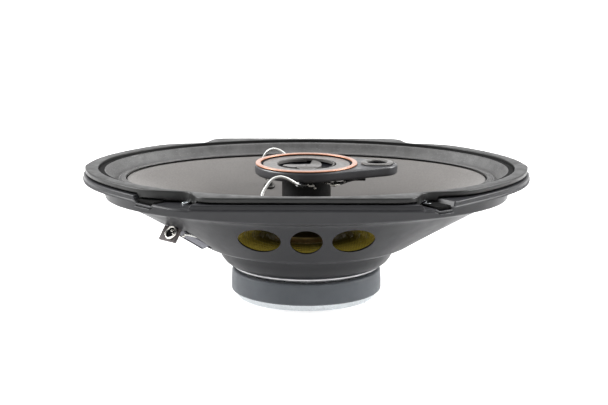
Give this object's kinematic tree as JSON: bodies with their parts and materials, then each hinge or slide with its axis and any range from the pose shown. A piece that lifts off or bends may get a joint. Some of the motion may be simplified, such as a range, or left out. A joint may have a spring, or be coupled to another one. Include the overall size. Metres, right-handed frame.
{
  "type": "coaxial car speaker",
  "caption": "Oval coaxial car speaker with a sprung cone, a post-mounted tweeter pod, a notched flange gasket and a ring-magnet motor.",
  "frame": {"origin": "centre of the back plate's underside, which the speaker stands on", "axes": "+X along the oval's long axis towards the super tweeter, +Z out of the cone, -Y towards the front screw ears in the reference view"},
  "size_m": [0.2252, 0.163, 0.0696],
  "materials": {
    "frame_paint": "satin",
    "gasket": "satin",
    "surround_rubber": "matt",
    "cone_paper": "satin moulded",
    "spider_cloth": "woven",
    "zinc": "plated",
    "ferrite": "matt",
    "boot_rubber": "satin",
    "former": "satin",
    "copper": "enamelled wire",
    "pod_plastic": "satin",
    "trim": "metallic",
    "diffuser_plastic": "satin",
    "diaphragm_film": "satin film",
    "tinned": "tinned",
    "capacitor_sleeve": "sleeve",
    "lead_braid": "braided tinsel",
    "fibre_board": "pressed fibre",
    "eyelet_brass": "plated"
  },
  "bodies": {
    "frame": {"back_plate": "zinc", "basket": "frame_paint", "ferrite_magnet": "ferrite", "frame_rivet_1": "zinc", "frame_rivet_2": "zinc", "frame_rivet_3": "zinc", "frame_rivet_4": "zinc", "front_gasket": "gasket", "front_plate": "zinc", "lead_lug_back": "tinned", "lead_lug_front": "tinned", "lead_lug_side": "tinned", "magnet_boot": "boot_rubber", "midrange_diffuser": "diffuser_plastic", "midrange_magnet": "tinned", "midrange_pole_plate": "zinc", "midrange_yoke": "zinc", "post_bolt": "zinc", "rear_lead_negative": "lead_braid", "rear_lead_positive": "lead_braid", "spider": "spider_cloth", "super_tweeter_bezel": "diffuser_plastic", "super_tweeter_magnet": "tinned", "super_tweeter_yoke": "zinc", "surround": "surround_rubber", "terminal_board": "fibre_board", "terminal_bracket": "frame_paint", "terminal_rivet": "tinned", "terminal_tab_negative": "tinned", "terminal_tab_positive": "tinned", "tinsel_lead_back": "lead_braid", "tinsel_lead_front": "lead_braid", "trim_ring": "trim", "tweeter_capacitor": "capacitor_sleeve", "tweeter_housing": "pod_plastic", "tweeter_post": "pod_plastic"},
    "cone_assembly": {"cone": "cone_paper", "voice_coil_former": "former", "voice_coil_winding": "copper", "cone_eyelet_front": "eyelet_brass", "cone_eyelet_back": "eyelet_brass"},
    "midrange_assembly": {"midrange_diaphragm": "diaphragm_film", "midrange_coil": "copper"},
    "super_tweeter_assembly": {"super_tweeter_dome": "diaphragm_film", "super_tweeter_coil": "copper"}
  },
  "joints": [
    {"name": "cone_travel", "type": "slide", "parent": "frame", "child": "cone_assembly", "axis": [0, 0, 1], "range_m": [-0.004, 0.004], "stiffness_N_per_m": 2500, "deforming": ["surround", "spider", "tinsel_lead_front", "tinsel_lead_back", "rear_lead_positive", "rear_lead_negative"]},
    {"name": "midrange_travel", "type": "slide", "parent": "frame", "child": "midrange_assembly", "axis": [0, 0, 1], "range_m": [-0.0004, 0.0004], "stiffness_N_per_m": 1500},
    {"name": "super_tweeter_travel", "type": "slide", "parent": "frame", "child": "super_tweeter_assembly", "axis": [0, 0, 1], "range_m": [-0.0002, 0.0002], "stiffness_N_per_m": 1500}
  ]
}
